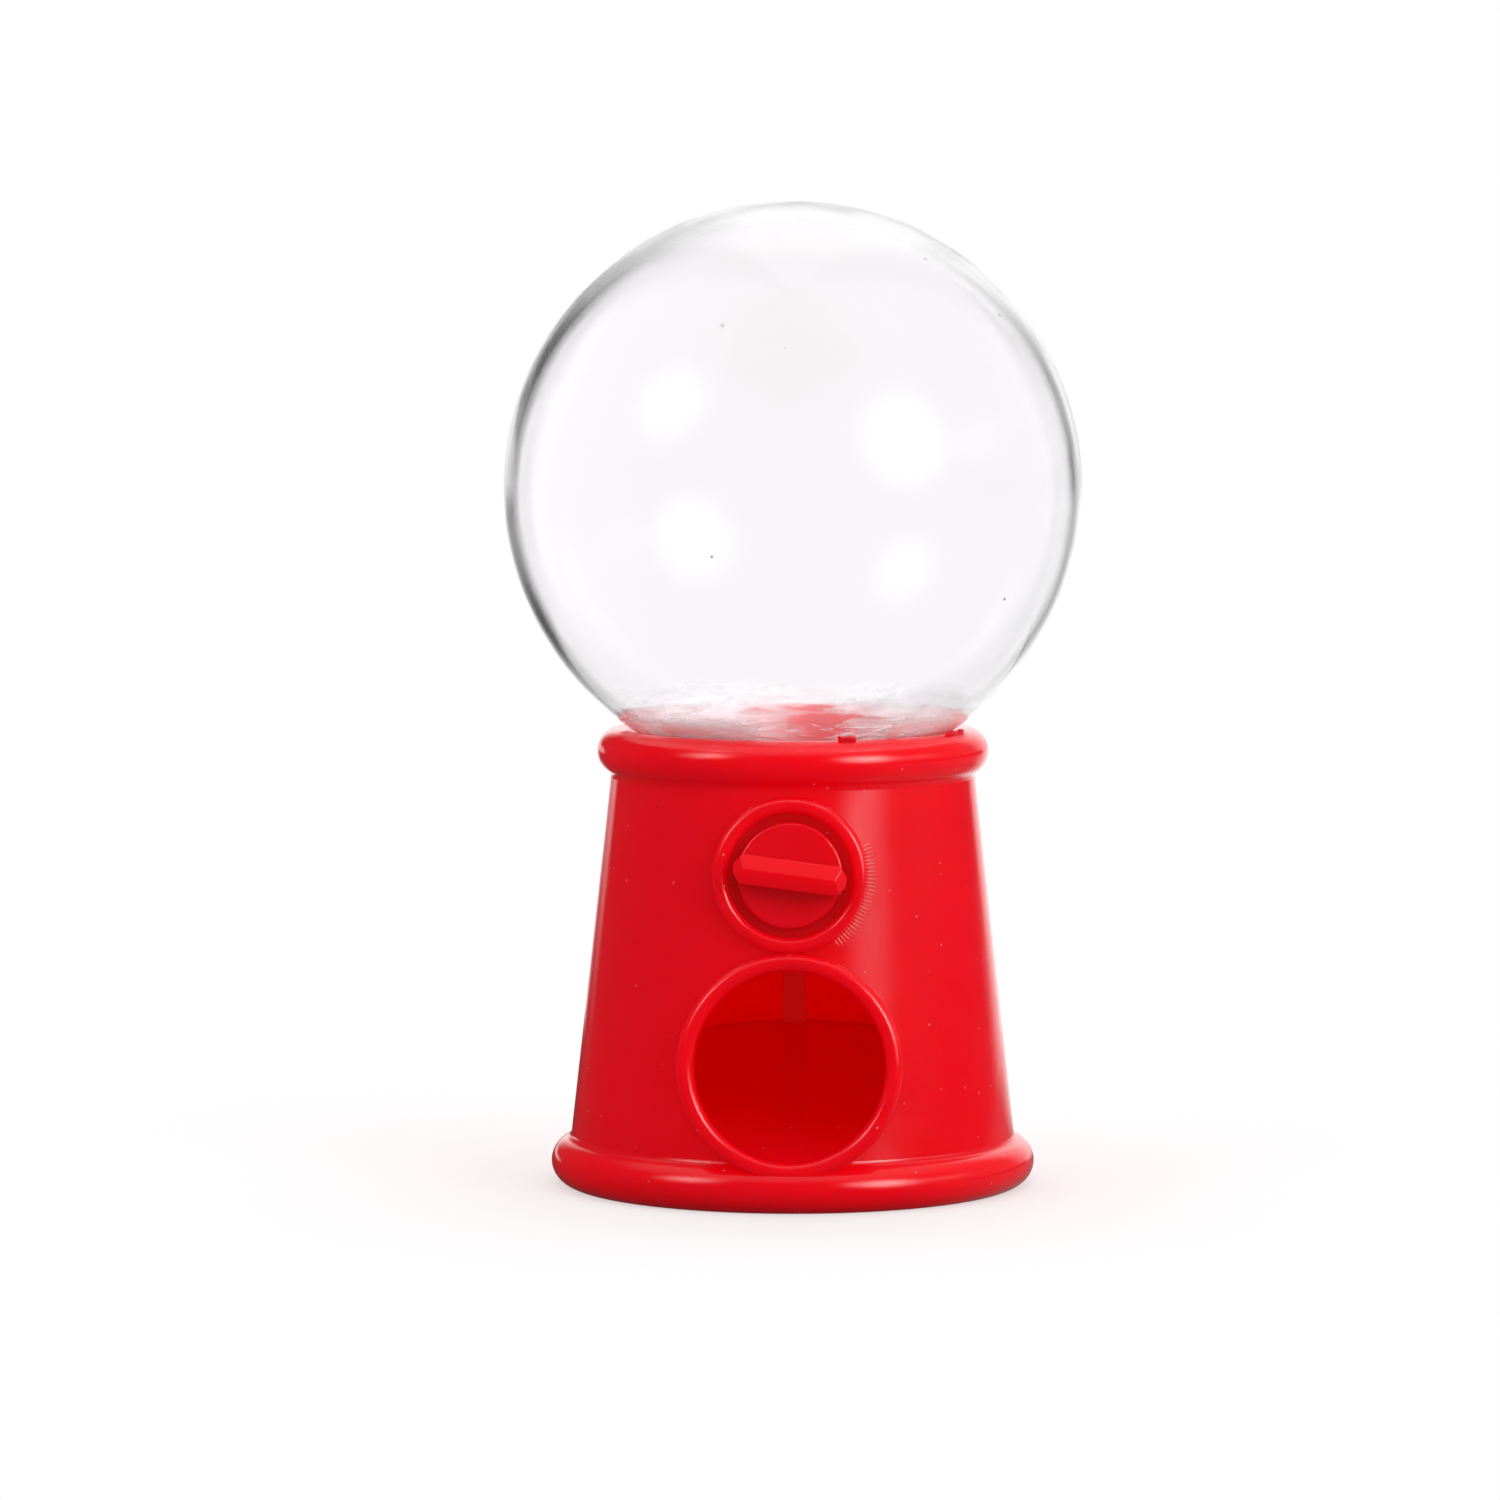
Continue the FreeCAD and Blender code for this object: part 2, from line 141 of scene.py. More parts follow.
def chatter_marks(tree, place):
    """Height of the short radial ticks that a cutter left in the mould, right of the knob ring, and the
    mask of the highlight painted on them.
    """
    local = add(tree, "ShaderNodeMapping", {
        "Vector": place,
        "Location": knob_place,
        "Rotation": (math.pi / 2 - wall_tilt, 0, 0),
    }, vector_type="TEXTURE")
    parts = add(tree, "ShaderNodeSeparateXYZ", {"Vector": local.outputs["Vector"]})
    flat = add(tree, "ShaderNodeCombineXYZ", {"X": parts.outputs["X"], "Y": parts.outputs["Y"]})
    radius = add(tree, "ShaderNodeVectorMath", {0: flat.outputs["Vector"]}, operation="LENGTH")
    angle = add(tree, "ShaderNodeMath", {0: parts.outputs["Y"], 1: parts.outputs["X"]},
                operation="ARCTAN2")
    depth = add(tree, "ShaderNodeMath", {0: parts.outputs["Z"]}, operation="ABSOLUTE")
    steps = add(tree, "ShaderNodeMath", {0: angle.outputs["Value"], 1: ticks_per_turn},
                operation="MULTIPLY")
    tick_and_highlight_mask = add(tree, "ShaderNodeMath", {0: steps.outputs["Value"]}, operation="SINE", use_clamp=True)
    for value, (start, end) in (
        (radius.outputs["Value"], tick_root_radii),
        (radius.outputs["Value"], tick_tip_radii),
        (angle.outputs["Value"], tick_low_angles),
        (angle.outputs["Value"], tick_high_angles),
        (depth.outputs["Value"], tick_depths),
    ):
        edge = add(tree, "ShaderNodeMapRange", {"Value": value, "From Min": start, "From Max": end})
        tick_and_highlight_mask = add(tree, "ShaderNodeMath", {0: tick_and_highlight_mask.outputs["Value"], 1: edge.outputs["Result"]},
                    operation="MULTIPLY")
    return tick_and_highlight_mask.outputs["Value"]


def scattered_specks(tree, place, spacing, edge, core, left_out):
    """Round specks in some of the cells of a pattern, with edge and core as shares of the spacing."""
    cells = add(tree, "ShaderNodeTexVoronoi", {"Vector": place, "Scale": 1 / spacing})
    dot = add(tree, "ShaderNodeMapRange", {
        "Value": cells.outputs["Distance"],
        "From Min": edge,
        "From Max": core,
    })
    draw = add(tree, "ShaderNodeSeparateColor", {"Color": cells.outputs["Color"]})
    chosen = add(tree, "ShaderNodeMath", {0: draw.outputs["Red"], 1: left_out}, operation="GREATER_THAN")
    specks = add(tree, "ShaderNodeMath", {0: dot.outputs["Result"], 1: chosen.outputs["Value"]},
                 operation="MULTIPLY")
    return specks.outputs["Value"]


def red_polystyrene(name, thin=True, tool_marks_with_highlight=False):
    """Polystyrene coloured in the mass and injection moulded in a polished mould.

    It is glossy with a faint orange peel, lets red light through where it is thin, and has pale specks
    of dust and flash on it. The base also has the cutter's chatter marks round the knob ring, with a
    painted highlight on them in a paler pink.
    """
    material, tree, shader, place = new_material(name)
    pigment_drift = add(tree, "ShaderNodeTexNoise", {"Vector": place, "Scale": 1 / (9 * MM), "Detail": 2})
    pigment = add(tree, "ShaderNodeMix", {
        0: pigment_drift.outputs["Fac"],
        6: linear("#F0061B"),
        7: linear("#F4091F"),
    }, data_type="RGBA")
    specks = scattered_specks(tree, place, spacing=0.9 * MM, edge=0.11, core=0.05, left_out=0.75)
    colour = add(tree, "ShaderNodeMix", {
        0: specks,
        6: pigment.outputs[2],
        7: linear("#E8827E"),
    }, data_type="RGBA")
    polish = add(tree, "ShaderNodeTexNoise", {"Vector": place, "Scale": 1 / (2.5 * MM), "Detail": 3})
    roughness = add(tree, "ShaderNodeMapRange", {
        "Value": polish.outputs["Fac"],
        "From Min": 0.3,
        "From Max": 0.7,
        "To Min": 0.08,
        "To Max": 0.15,
    })
    tree.links.new(roughness.outputs["Result"], shader.inputs["Roughness"])
    peel = add(tree, "ShaderNodeTexNoise", {"Vector": place, "Scale": 1 / (1.4 * MM), "Detail": 1})
    surface = add(tree, "ShaderNodeBump", {
        "Height": peel.outputs["Fac"],
        "Strength": 1,
        "Distance": 0.006 * MM,
    })
    surface = add(tree, "ShaderNodeBump", {
        "Height": specks,
        "Normal": surface.outputs["Normal"],
        "Strength": 1,
        "Distance": 0.02 * MM,
    })
    if tool_marks_with_highlight:
        tick_and_highlight_mask = chatter_marks(tree, place)
        surface = add(tree, "ShaderNodeBump", {
            "Height": tick_and_highlight_mask,
            "Normal": surface.outputs["Normal"],
            "Strength": 1,
            "Distance": 0.05 * MM,
        })
        # Paler pink on the ticks is a painted highlight, for the light that their edges catch
        colour = add(tree, "ShaderNodeMix", {
            0: tick_and_highlight_mask,
            6: colour.outputs[2],
            7: linear("#FF8A84"),
        }, data_type="RGBA")
    tree.links.new(colour.outputs[2], shader.inputs["Base Color"])
    tree.links.new(surface.outputs["Normal"], shader.inputs["Normal"])
    shader.inputs["IOR"].default_value = 1.5
    shader.inputs["Subsurface Weight"].default_value = 1
    shader.inputs["Subsurface Radius"].default_value = (1.0, 0.02, 0.02)
    shader.inputs["Subsurface Scale"].default_value = 2.5 * MM
    if thin:
        let_lamps_through(tree, shader, "#F20000")
    return material


def clear_polystyrene():
    """General-purpose polystyrene, moulded in a polished mould: clear and glossy, with light scuffs.

    Just above the base the neck has a streaked white haze, painted light that stands in for the bright
    light seen through the thick neck, with a ragged clear patch at the front and thinner haze at the
    sides. The few dark specks are burnt material in the melt. Lamp light passes the thin wall, a little
    dimmed.
    """
    material, tree, shader, place = new_material("clear_polystyrene")
    parts = add(tree, "ShaderNodeSeparateXYZ", {"Vector": place})
    colour = add(tree, "ShaderNodeMix", {
        0: scattered_specks(tree, place, spacing=5 * MM, edge=0.034, core=0.022, left_out=0.8),
        6: linear("#FBFAFB"),
        7: linear("#4A4240"),
    }, data_type="RGBA")
    tree.links.new(colour.outputs[2], shader.inputs["Base Color"])
    shader.inputs["IOR"].default_value = 1.55
    streak_place = add(tree, "ShaderNodeMapping", {"Vector": place, "Scale": (1, 1, 5)})
    streaks = add(tree, "ShaderNodeTexNoise", {
        "Vector": streak_place.outputs["Vector"],
        "Scale": 1 / (3 * MM),
        "Detail": 3,
        "Distortion": 0.6,
    })
    streak_depth = add(tree, "ShaderNodeMapRange", {
        "Value": streaks.outputs["Fac"],
        "From Min": 0.38,
        "From Max": 0.55,
        "To Min": 0.55,
        "To Max": 1.0,
    })
    # Band of white haze at the neck: painted light, in place of the bright light seen through it
    neck_band = add(tree, "ShaderNodeMapRange", {
        "Value": parts.outputs["Z"],
        "From Min": base_top_z + 2.1 * MM,
        "From Max": base_top_z + 0.7 * MM,
        "To Max": 0.97,
    }, interpolation_type="SMOOTHSTEP")
    painted_light_haze = add(tree, "ShaderNodeMath", {0: neck_band.outputs["Result"], 1: streak_depth.outputs["Result"]},
               operation="MULTIPLY")
    raggedness = 16 * MM
    patch_shift = 10 * MM
    front_patch = (1.5 * MM, 7 * MM, 0.08)
    thinner_sides = (14 * MM, 10 * MM, 0.65)
    ragged = add(tree, "ShaderNodeMath", {
        0: streaks.outputs["Fac"],
        1: raggedness,
        2: parts.outputs["X"],
    }, operation="MULTIPLY_ADD")
    off_middle = add(tree, "ShaderNodeMath", {0: ragged.outputs["Value"], 1: patch_shift},
                     operation="SUBTRACT")
    off_middle = add(tree, "ShaderNodeMath", {0: off_middle.outputs["Value"]}, operation="ABSOLUTE")
    for start, end, least in (front_patch, thinner_sides):
        share = add(tree, "ShaderNodeMapRange", {
            "Value": off_middle.outputs["Value"],
            "From Min": start,
            "From Max": end,
            "To Min": least,
        }, interpolation_type="SMOOTHSTEP")
        painted_light_haze = add(tree, "ShaderNodeMath", {0: painted_light_haze.outputs["Value"], 1: share.outputs["Result"]},
                   operation="MULTIPLY")
    clearness = add(tree, "ShaderNodeMath", {0: 1.0, 1: painted_light_haze.outputs["Value"]}, operation="SUBTRACT")
    tree.links.new(clearness.outputs["Value"], shader.inputs["Transmission Weight"])
    smudge = add(tree, "ShaderNodeTexNoise", {"Vector": place, "Scale": 1 / (7 * MM), "Detail": 3})
    roughness = add(tree, "ShaderNodeMapRange", {
        "Value": smudge.outputs["Fac"],
        "From Min": 0.4,
        "From Max": 0.75,
        "To Min": 0.02,
        "To Max": 0.1,
    })
    crookedness = 0.003
    crooked = add(tree, "ShaderNodeTexNoise", {"Vector": place, "Scale": 1 / (4 * MM), "Detail": 2})
    scratch_place = add(tree, "ShaderNodeMix", {
        0: crookedness,
        4: place,
        5: crooked.outputs["Color"],
    }, data_type="VECTOR")
    scratch_cells = add(tree, "ShaderNodeTexVoronoi", {
        "Vector": scratch_place.outputs[1],
        "Scale": 1 / (6 * MM),
    }, feature="DISTANCE_TO_EDGE")
    scratch_line = add(tree, "ShaderNodeMapRange", {
        "Value": scratch_cells.outputs["Distance"],
        "From Min": 0.01,
        "From Max": 0.004,
    })
    scratch_run = add(tree, "ShaderNodeTexNoise", {"Vector": place, "Scale": 1 / (3.5 * MM), "Detail": 1})
    scratch_kept = add(tree, "ShaderNodeMapRange", {
        "Value": scratch_run.outputs["Fac"],
        "From Min": 0.68,
        "From Max": 0.7,
    })
    scratch = add(tree, "ShaderNodeMath", {
        0: scratch_line.outputs["Result"],
        1: scratch_kept.outputs["Result"],
    }, operation="MULTIPLY")
    scratch_roughness = 0.15
    roughness = add(tree, "ShaderNodeMath", {
        0: scratch.outputs["Value"],
        1: scratch_roughness,
        2: roughness.outputs["Result"],
    }, operation="MULTIPLY_ADD")
    tree.links.new(roughness.outputs["Value"], shader.inputs["Roughness"])
    waviness = add(tree, "ShaderNodeTexNoise", {"Vector": place, "Scale": 1 / (5 * MM), "Detail": 1})
    surface = add(tree, "ShaderNodeBump", {
        "Height": waviness.outputs["Fac"],
        "Strength": 1,
        "Distance": 0.01 * MM,
    })
    surface = add(tree, "ShaderNodeBump", {
        "Height": painted_light_haze.outputs["Value"],
        "Normal": surface.outputs["Normal"],
        "Strength": 1,
        "Distance": 0.04 * MM,
    })
    tree.links.new(surface.outputs["Normal"], shader.inputs["Normal"])
    shader.inputs["Specular Tint"].default_value = (0.32, 0.32, 0.32, 1)
    let_lamps_through(tree, shader, "#F7F7F8")
    return material


def start_piece(name, place):
    """One vertex at a place, in edit mode, as the start of a drawn section."""
    bpy.ops.object.select_all(action="DESELECT")
    bpy.ops.mesh.primitive_plane_add(size=1 * MM, location=place)
    bpy.ops.object.transform_apply(location=True)
    piece = bpy.context.object
    piece.name = name
    bpy.ops.object.mode_set(mode="EDIT")
    bpy.ops.mesh.select_mode(type="VERT")
    bpy.ops.mesh.merge(type="CENTER")
    bpy.ops.mesh.select_all(action="SELECT")
    return piece


def draw_to(run, rise):
    """Straight edge of a section from its last vertex."""
    bpy.ops.mesh.extrude_region_move(TRANSFORM_OT_translate={"value": (run, 0, rise)})


def draw_arc(centre_r, centre_z, degrees, steps):
    """Round edge of a section from its last vertex, clockwise seen from the front."""
    centre = (centre_r, 0, centre_z)
    bpy.ops.mesh.spin(steps=steps, angle=-math.radians(degrees), center=centre, axis=(0, 1, 0))


def select_end(radius, z):
    """Select the vertex of a section at a radius and a height, to draw on from it."""
    bpy.ops.mesh.select_mode(type="VERT")
    bpy.ops.mesh.select_all(action="DESELECT")
    mesh = bmesh.from_edit_mesh(bpy.context.object.data)
    for vertex in mesh.verts:
        vertex.select = math.dist((vertex.co.x, vertex.co.z), (radius, z)) < same_place
    bmesh.update_edit_mesh(bpy.context.object.data)


def turn_section(steps):
    """Turn the drawn section about Z into a closed piece."""
    bpy.ops.mesh.select_all(action="SELECT")
    bpy.ops.mesh.spin(steps=steps, angle=math.tau, center=(0, 0, 0), axis=(0, 0, 1))
    bpy.ops.mesh.select_all(action="SELECT")
    bpy.ops.mesh.remove_doubles(threshold=same_place)
    bpy.ops.mesh.normals_make_consistent(inside=False)
    bpy.ops.object.mode_set(mode="OBJECT")


def finish_piece(piece, material, body):
    """Give a piece smooth shading, its material and its body."""
    bpy.ops.object.shade_smooth_by_angle(angle=math.radians(40))
    piece.data.materials.append(material)
    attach(piece, body)


def select_ring(radius, z):
    """Select the edges of a turned piece that run round it at a radius and a height."""
    bpy.ops.mesh.select_mode(type="EDGE")
    bpy.ops.mesh.select_all(action="DESELECT")
    mesh = bmesh.from_edit_mesh(bpy.context.object.data)
    for edge in mesh.edges:
        edge.select = all(
            abs(end.co.z - z) < same_place and abs(math.hypot(end.co.x, end.co.y) - radius) < same_place
            for end in edge.verts
        )
    bmesh.update_edit_mesh(bpy.context.object.data)


def clear_globe(material):
    """Ball on the neck that plugs into the base, drawn as a section from inside and turned.

    Its wall is thinnest round the middle and thickest at the top.
    """
    inner_radius = globe_radius - globe_side_wall
    inner_height = globe_radius - (globe_top_wall + globe_low_wall) / 2
    inner_z = globe_z - (globe_top_wall - globe_low_wall) / 2
    throat_angle = math.asin(neck_bore_radius / inner_radius)
    throat_z = inner_z - inner_height * math.cos(throat_angle)
    neck_top_angle = math.asin(neck_radius / globe_radius)
    neck_top_z = globe_z - globe_radius * math.cos(neck_top_angle)
    piece = start_piece("clear_globe", (0, 0, inner_z + inner_radius))
    draw_arc(0, inner_z, 180 - math.degrees(throat_angle), steps=96)
    bpy.ops.mesh.select_all(action="SELECT")
    bpy.ops.transform.resize(value=(1, 1, inner_height / inner_radius), center_override=(0, 0, inner_z))
    select_end(neck_bore_radius, throat_z)
    draw_to(0, neck_foot_z - throat_z)
    draw_to(neck_radius - neck_edge_chamfer - neck_bore_radius, 0)
    draw_to(neck_edge_chamfer, neck_edge_chamfer)
    draw_to(0, neck_top_z - neck_foot_z - neck_edge_chamfer)
    draw_arc(0, globe_z, math.degrees(neck_top_angle) - 180, steps=96)
    turn_section(steps=256)
    bpy.ops.object.mode_set(mode="EDIT")
    select_ring(neck_bore_radius, throat_z)
    bpy.ops.mesh.bevel(offset=throat_round, segments=6)
    select_ring(neck_radius, neck_top_z)
    bpy.ops.mesh.bevel(offset=neck_root_round, segments=4)
    bpy.ops.object.mode_set(mode="OBJECT")
    finish_piece(piece, material, "globe")
    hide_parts("globe")


def rim_flash(name, start, span, height, seed, material):
    """Thin ragged fin of flash on the rim bead, with its start and span in degrees right of the front."""
    bead_rise = math.sqrt(rim_bead_radius ** 2 - (flash_radius - rim_bead_centre) ** 2)
    root_z = rim_bead_z + bead_rise - flash_root_depth
    begin = math.radians(start)
    piece = start_piece(name, (flash_radius * math.sin(begin), -flash_radius * math.cos(begin), root_z))
    draw_to(0, height)
    bpy.ops.mesh.select_all(action="SELECT")
    bpy.ops.mesh.spin(steps=16, angle=-math.radians(span), center=(0, 0, 0), axis=(0, 0, 1))
    bpy.ops.mesh.select_all(action="DESELECT")
    bpy.ops.object.mode_set(mode="OBJECT")
    for vertex in piece.data.vertices:
        vertex.select = vertex.co.z > root_z + height / 2
    bpy.ops.object.mode_set(mode="EDIT")
    bpy.ops.transform.vertex_random(offset=flash_raggedness * height, seed=seed)
    bpy.ops.object.mode_set(mode="OBJECT")
    wall = piece.modifiers.new("thickness", "SOLIDIFY")
    wall.thickness = flash_thickness
    wall.offset = 0
    bpy.ops.object.modifier_apply(modifier=wall.name)
    soft = piece.modifiers.new("soft edges", "SUBSURF")
    soft.levels = 2
    soft.render_levels = 2
    bpy.ops.object.modifier_apply(modifier=soft.name)
    finish_piece(piece, material, "base")


def dress_nodes(names, material):
    """Give carried-over solids their finish."""
    for name in names:
        frame["nodes"][name].data.materials.clear()
        frame["nodes"][name].data.materials.append(material)


floor_radius = 120 * MM
floor_drop = 0.02 * MM
shadow_radius = 18 * MM
white_radius = 75 * MM

# Brightness of the studio, as (degrees from straight behind, level) pairs. A white backdrop stands
# between two dark flags, which give the clear globe its grey edges. It is brighter towards them, because
# the globe's slanting wall lets less light through there. The first three lists are for light that came
# through the globe, from a level direction to a steep one, the next two for reflections, and the last
# for the light that the studio gives.
seen_through = [
    (-180, 1.0), (-42, 1.0), (-33, 0.25), (-27, 0.4), (-20, 0.55), (-16, 0.8), (-13, 1.3),
    (-9, 1.3), (-6, 1.1), (-3, 1.02), (3, 1.02), (6, 1.1), (9, 1.3), (13, 1.38),
    (17, 1.0), (20, 0.45), (23, 0.2), (31, 0.15), (40, 1.0), (180, 1.0),
]
seen_aslant = [
    (-180, 1.0), (-42, 1.0), (-33, 0.12), (-17, 0.12), (-13, 0.6), (-10, 1.25), (-4, 1.14), (4, 1.14),
    (8, 1.35), (12, 1.2), (17, 0.35), (31, 0.2), (40, 1.0), (180, 1.0),
]
seen_steeply = [
    (-180, 1.2), (-48, 1.2), (-35, 0.4), (-22, 0.25), (-15, 1.1), (15, 1.1), (22, 0.6), (35, 0.7),
    (48, 1.2), (180, 1.2),
]
mirrored_level = [
    (-180, 0.04), (-36, 0.04), (-31, 0.95), (27, 0.95), (33, 0.05), (180, 0.04),
]
mirrored_aslant = [
    (-180, 0.05), (-22, 0.05), (-16, 0.4), (-9, 1.3), (14, 1.3), (30, 0.9), (44, 0.2), (115, 0.2),
    (150, 0.05), (180, 0.05),
]
surround = [(-180, 0.62), (-110, 0.62), (-60, 1.1), (0, 1.5), (60, 1.1), (110, 0.7), (180, 0.62)]


def turn_from_behind(tree, vector):
    """Share of a full turn round Z, half-way straight behind, with the vector's separate parts."""
    parts = add(tree, "ShaderNodeSeparateXYZ", {"Vector": vector})
    azimuth = add(tree, "ShaderNodeMath", {0: parts.outputs["X"], 1: parts.outputs["Y"]},
                  operation="ARCTAN2")
    turn = add(tree, "ShaderNodeMapRange", {
        "Value": azimuth.outputs["Value"],
        "From Min": -math.pi,
        "From Max": math.pi,
    })
    return turn.outputs["Result"], parts


def studio_level(tree, turn, stops):
    """Brightness all round the studio from pairs of degrees from straight behind and level."""
    ramp = add(tree, "ShaderNodeValToRGB", {"Fac": turn})
    elements = ramp.color_ramp.elements
    elements[0].color = (stops[0][1], stops[0][1], stops[0][1], 1)
    elements[1].color = (stops[-1][1], stops[-1][1], stops[-1][1], 1)
    for degrees, level in stops[1:-1]:
        elements.new((degrees + 180) / 360).color = (level, level, level, 1)
    return ramp.outputs["Color"]


def by_ray(tree, level, path, kinds):
    """Level with other levels in its place for the named kinds of ray, of which a later kind prevails."""
    for kind, seen in kinds:
        choice = add(tree, "ShaderNodeMix", {0: path.outputs[kind], 6: level, 7: seen}, data_type="RGBA")
        level = choice.outputs[2]
    return level


def pale_floor():
    """Pale table top that keeps the shadow near the foot and fades to the white background."""
    bpy.ops.object.select_all(action="DESELECT")
    bpy.ops.mesh.primitive_circle_add(
        vertices=128, radius=floor_radius, fill_type="NGON", location=(0, 0, -floor_drop))
    table = bpy.context.object
    table.name = "floor"
    material = bpy.data.materials.new("white_card")
    material.use_nodes = True
    tree = material.node_tree
    tree.nodes.clear()
    place = add(tree, "ShaderNodeTexCoord").outputs["Object"]
    away = add(tree, "ShaderNodeVectorMath", {0: place}, operation="LENGTH")
    fade = add(tree, "ShaderNodeMapRange", {
        "Value": away.outputs["Value"],
        "From Min": shadow_radius,
        "From Max": white_radius,
        "To Min": 0.5,
        "To Max": 1.0,
    }, interpolation_type="SMOOTHSTEP")
    path = add(tree, "ShaderNodeLightPath")
    turn = turn_from_behind(tree, place)[0]
    level = by_ray(tree, (1, 1, 1, 1), path, (
        ("Is Glossy Ray", studio_level(tree, turn, mirrored_aslant)),
        ("Is Transmission Ray", (1, 1, 1, 1)),
    ))
    share = add(tree, "ShaderNodeMath", {0: fade.outputs["Result"], 1: path.outputs["Is Camera Ray"]},
                operation="MULTIPLY")
    for kind in ("Is Glossy Ray", "Is Transmission Ray"):
        share = add(tree, "ShaderNodeMath", {0: share.outputs["Value"], 1: path.outputs[kind]},
                    operation="MAXIMUM")
    given_back = by_ray(tree, linear("#F4F4F4"), path, (("Is Diffuse Ray", linear("#A4A4A4")),))
    card = add(tree, "ShaderNodeBsdfDiffuse", {"Color": given_back})
    white = add(tree, "ShaderNodeEmission", {"Color": level, "Strength": 1})
    mixed = add(tree, "ShaderNodeMixShader", {
        0: share.outputs["Value"],
        1: card.outputs["BSDF"],
        2: white.outputs["Emission"],
    })
    add(tree, "ShaderNodeOutputMaterial", {"Surface": mixed.outputs["Shader"]})
    table.data.materials.append(material)


def studio_world():
    """White studio: the camera sees plain white, and clear and glossy pieces show the flags."""
    world = bpy.data.worlds.new("studio")
    bpy.context.scene.world = world
    world.use_nodes = True
    tree = world.node_tree
    tree.nodes.clear()
    turn, towards = turn_from_behind(tree, add(tree, "ShaderNodeTexCoord").outputs["Generated"])
    steepness = add(tree, "ShaderNodeMath", {0: towards.outputs["Z"]}, operation="ABSOLUTE")
    aslant = add(tree, "ShaderNodeMapRange", {
        "Value": steepness.outputs["Value"],
        "From Min": 0.1,
        "From Max": 0.2,
    }, interpolation_type="SMOOTHSTEP")
    through = add(tree, "ShaderNodeMix", {
        0: aslant.outputs["Result"],
        6: studio_level(tree, turn, seen_through),
        7: studio_level(tree, turn, seen_aslant),
    }, data_type="RGBA")
    flag_top = add(tree, "ShaderNodeMapRange", {
        "Value": towards.outputs["Z"],
        "From Min": 0.18,
        "From Max": 0.36,
    }, interpolation_type="SMOOTHSTEP")
    through = add(tree, "ShaderNodeMix", {
        0: flag_top.outputs["Result"],
        6: through.outputs[2],
        7: studio_level(tree, turn, seen_steeply),
    }, data_type="RGBA")
    flag_foot = add(tree, "ShaderNodeMapRange", {
        "Value": towards.outputs["Z"],
        "From Min": -0.3,
        "From Max": -0.37,
    }, interpolation_type="SMOOTHSTEP")
    through = add(tree, "ShaderNodeMix", {
        0: flag_foot.outputs["Result"],
        6: through.outputs[2],
        7: (1, 1, 1, 1),
    }, data_type="RGBA")
    level_gaze = add(tree, "ShaderNodeMapRange", {
        "Value": steepness.outputs["Value"],
        "From Min": 0.075,
        "From Max": 0.02,
    }, interpolation_type="SMOOTHSTEP")
    mirrored = add(tree, "ShaderNodeMix", {
        0: level_gaze.outputs["Result"],
        6: studio_level(tree, turn, mirrored_aslant),
        7: studio_level(tree, turn, mirrored_level),
    }, data_type="RGBA")
    overhead = add(tree, "ShaderNodeMapRange", {
        "Value": towards.outputs["Z"],
        "From Min": 0.6,
        "From Max": 0.9,
    }, interpolation_type="SMOOTHSTEP")
    mirrored = add(tree, "ShaderNodeMix", {
        0: overhead.outputs["Result"],
        6: mirrored.outputs[2],
        7: (0.6, 0.6, 0.6, 1),
    }, data_type="RGBA")
    level = by_ray(tree, studio_level(tree, turn, surround), add(tree, "ShaderNodeLightPath"), (
        ("Is Glossy Ray", mirrored.outputs[2]),
        ("Is Transmission Ray", through.outputs[2]),
        ("Is Camera Ray", (1, 1, 1, 1)),
    ))
    background = add(tree, "ShaderNodeBackground", {"Color": level, "Strength": 1})
    add(tree, "ShaderNodeOutputWorld", {"Surface": background.outputs["Background"]})


machine_middle = Vector((0, 0, 36 * MM))
lamp_falloff = 2.5


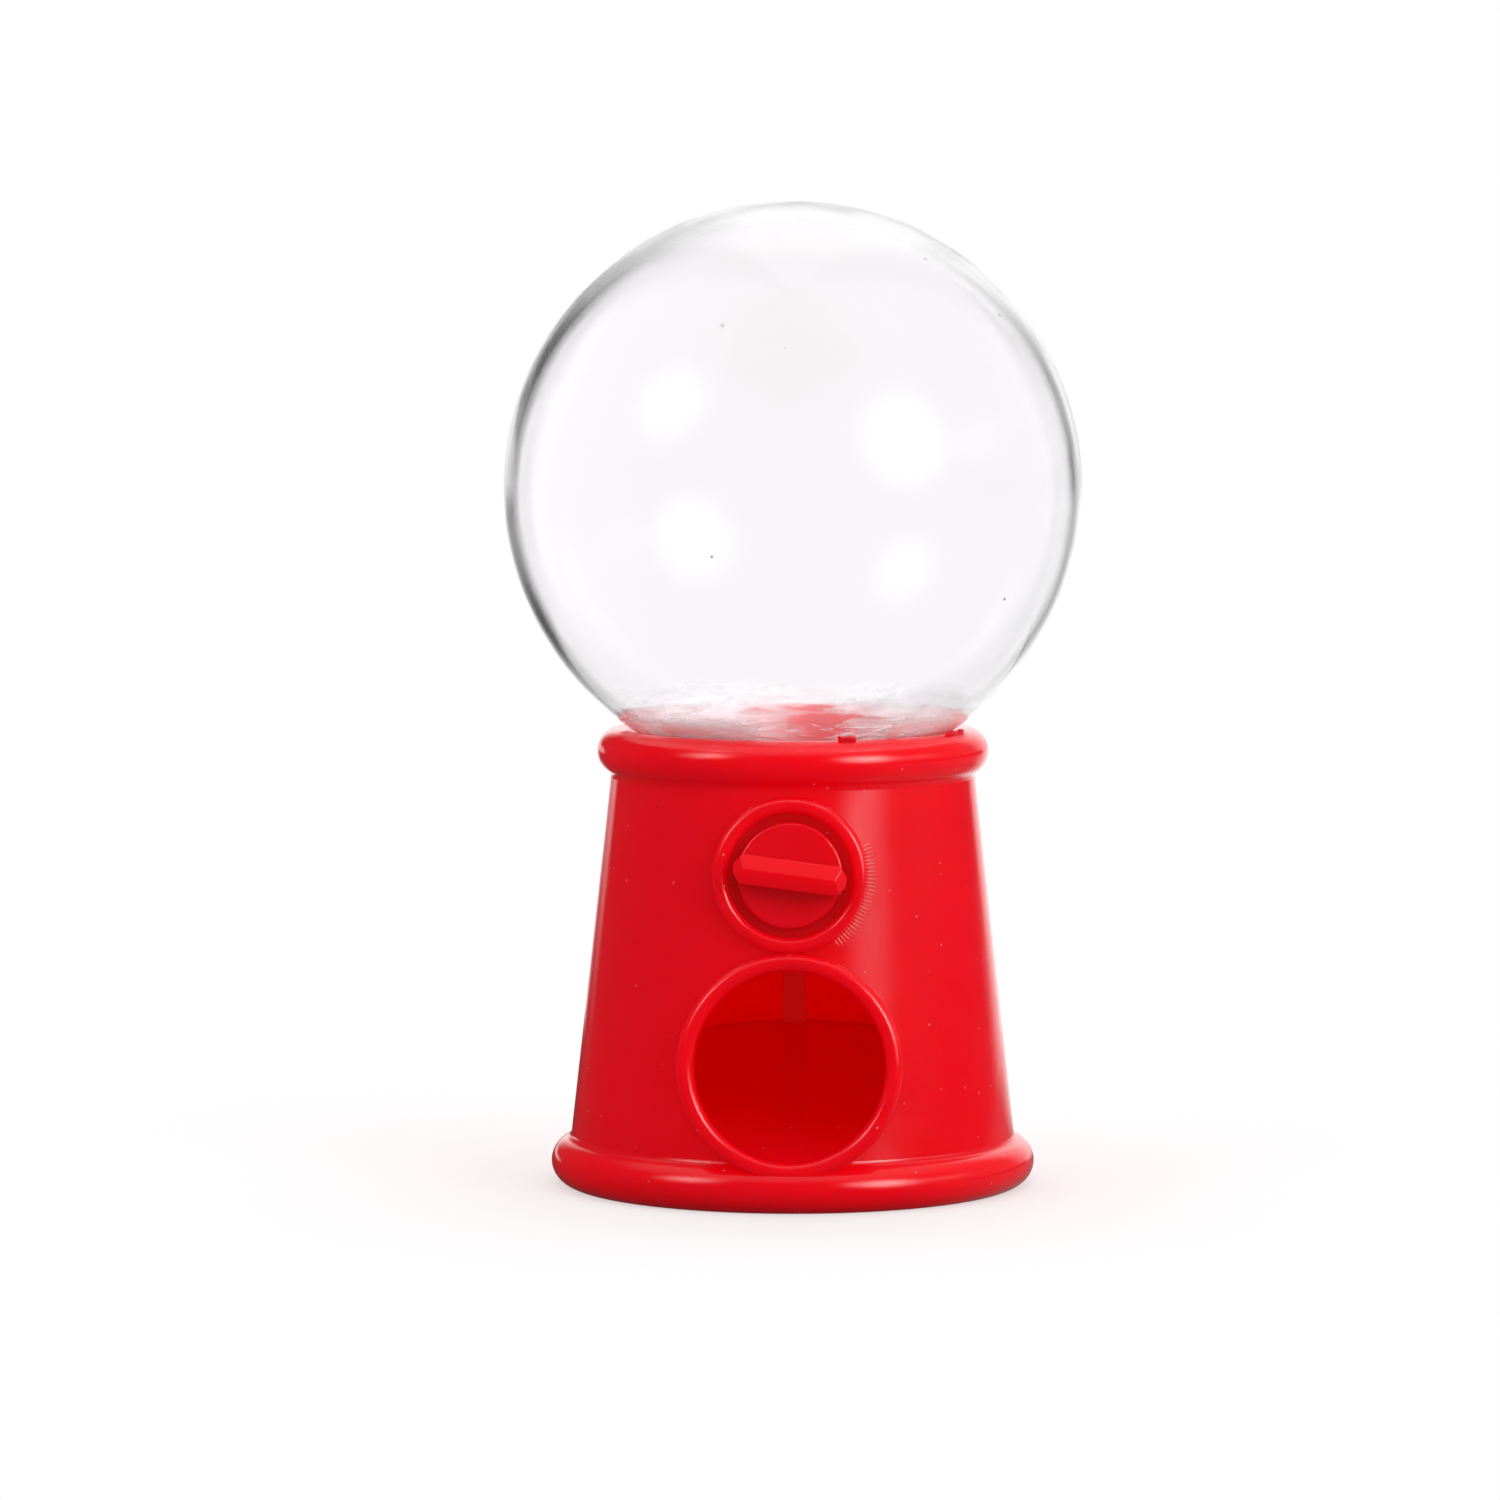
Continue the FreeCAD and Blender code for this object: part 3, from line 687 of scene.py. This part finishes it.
def soft_lamp(name, direction, distance, width, height, watts):
    """Soft box at a distance from the middle of the machine, facing it, brightest in its middle."""
    towards = Vector(direction).normalized()
    bpy.ops.object.light_add(type="AREA", location=machine_middle + towards * distance)
    lamp = bpy.context.object
    lamp.name = name
    lamp.data.shape = "RECTANGLE"
    lamp.data.size = width
    lamp.data.size_y = height
    lamp.data.energy = watts
    lamp.rotation_euler = towards.to_track_quat("Z", "Y").to_euler()
    lamp.data.use_nodes = True
    tree = lamp.data.node_tree
    tree.nodes.clear()
    across = add(tree, "ShaderNodeNewGeometry").outputs["Parametric"]
    middle = add(tree, "ShaderNodeVectorMath", {0: across, 1: (0.5, 0.5, 0)}, operation="SUBTRACT")
    away = add(tree, "ShaderNodeVectorMath", {0: middle.outputs["Vector"]}, operation="LENGTH")
    rise = add(tree, "ShaderNodeMapRange", {
        "Value": away.outputs["Value"],
        "From Min": 0.5,
        "From Max": 0.0,
    }, interpolation_type="SMOOTHSTEP")
    glow = add(tree, "ShaderNodeMath", {0: rise.outputs["Result"], 1: lamp_falloff}, operation="POWER")
    light = add(tree, "ShaderNodeEmission", {"Strength": glow.outputs["Value"]})
    add(tree, "ShaderNodeOutputLight", {"Surface": light.outputs["Emission"]})


def studio_lamps():
    """A bright soft box at the right, a weaker one high at the left and a dim panel far to the right."""
    soft_lamp("right_soft_box", (0.675, -0.638, 0.369), distance=0.6, width=0.72, height=0.72, watts=13.5)
    soft_lamp("left_soft_box", (-0.686, -0.469, 0.557), distance=0.6, width=0.6, height=0.6, watts=5.5)
    soft_lamp("right_panel", (0.94, -0.165, 0.3), distance=0.5, width=0.6, height=0.3, watts=0.5)


camera_distance = 470 * MM
camera_height = 69 * MM
camera_azimuth = 0.8
camera_yaw = 1.178
camera_pitch = 4.58
camera_lens = 156.5


def photo_camera():
    """Camera at the photograph's place, for a square picture of 1500 by 1500 pixels."""
    aside = math.radians(camera_azimuth)
    place = (camera_distance * math.sin(aside), -camera_distance * math.cos(aside), camera_height)
    turn = (math.radians(90 - camera_pitch), 0, math.radians(camera_yaw))
    bpy.ops.object.camera_add(location=place, rotation=turn)
    camera = bpy.context.object
    camera.data.sensor_width = 36
    camera.data.lens = camera_lens
    camera.data.clip_start = 10 * MM
    bpy.context.scene.camera = camera


base_red = red_polystyrene("red_polystyrene_base", tool_marks_with_highlight=True)
dress_nodes(["base_body"], base_red)
dress_nodes(["knob"], red_polystyrene("red_polystyrene_knob", thin=False))
inner_pieces = ["dispensing_rotor", "hopper_plate", "chute_ramp", "bottom_cover"]
dress_nodes(inner_pieces, red_polystyrene("red_polystyrene"))
clear_globe(clear_polystyrene())
rim_flash("rim_flash_front", start=15, span=6, height=0.55 * MM, seed=3, material=base_red)
rim_flash("rim_flash_right", start=58, span=13, height=0.45 * MM, seed=8, material=base_red)
pale_floor()
studio_world()
studio_lamps()
photo_camera()
bpy.context.scene.view_settings.view_transform = "Standard"
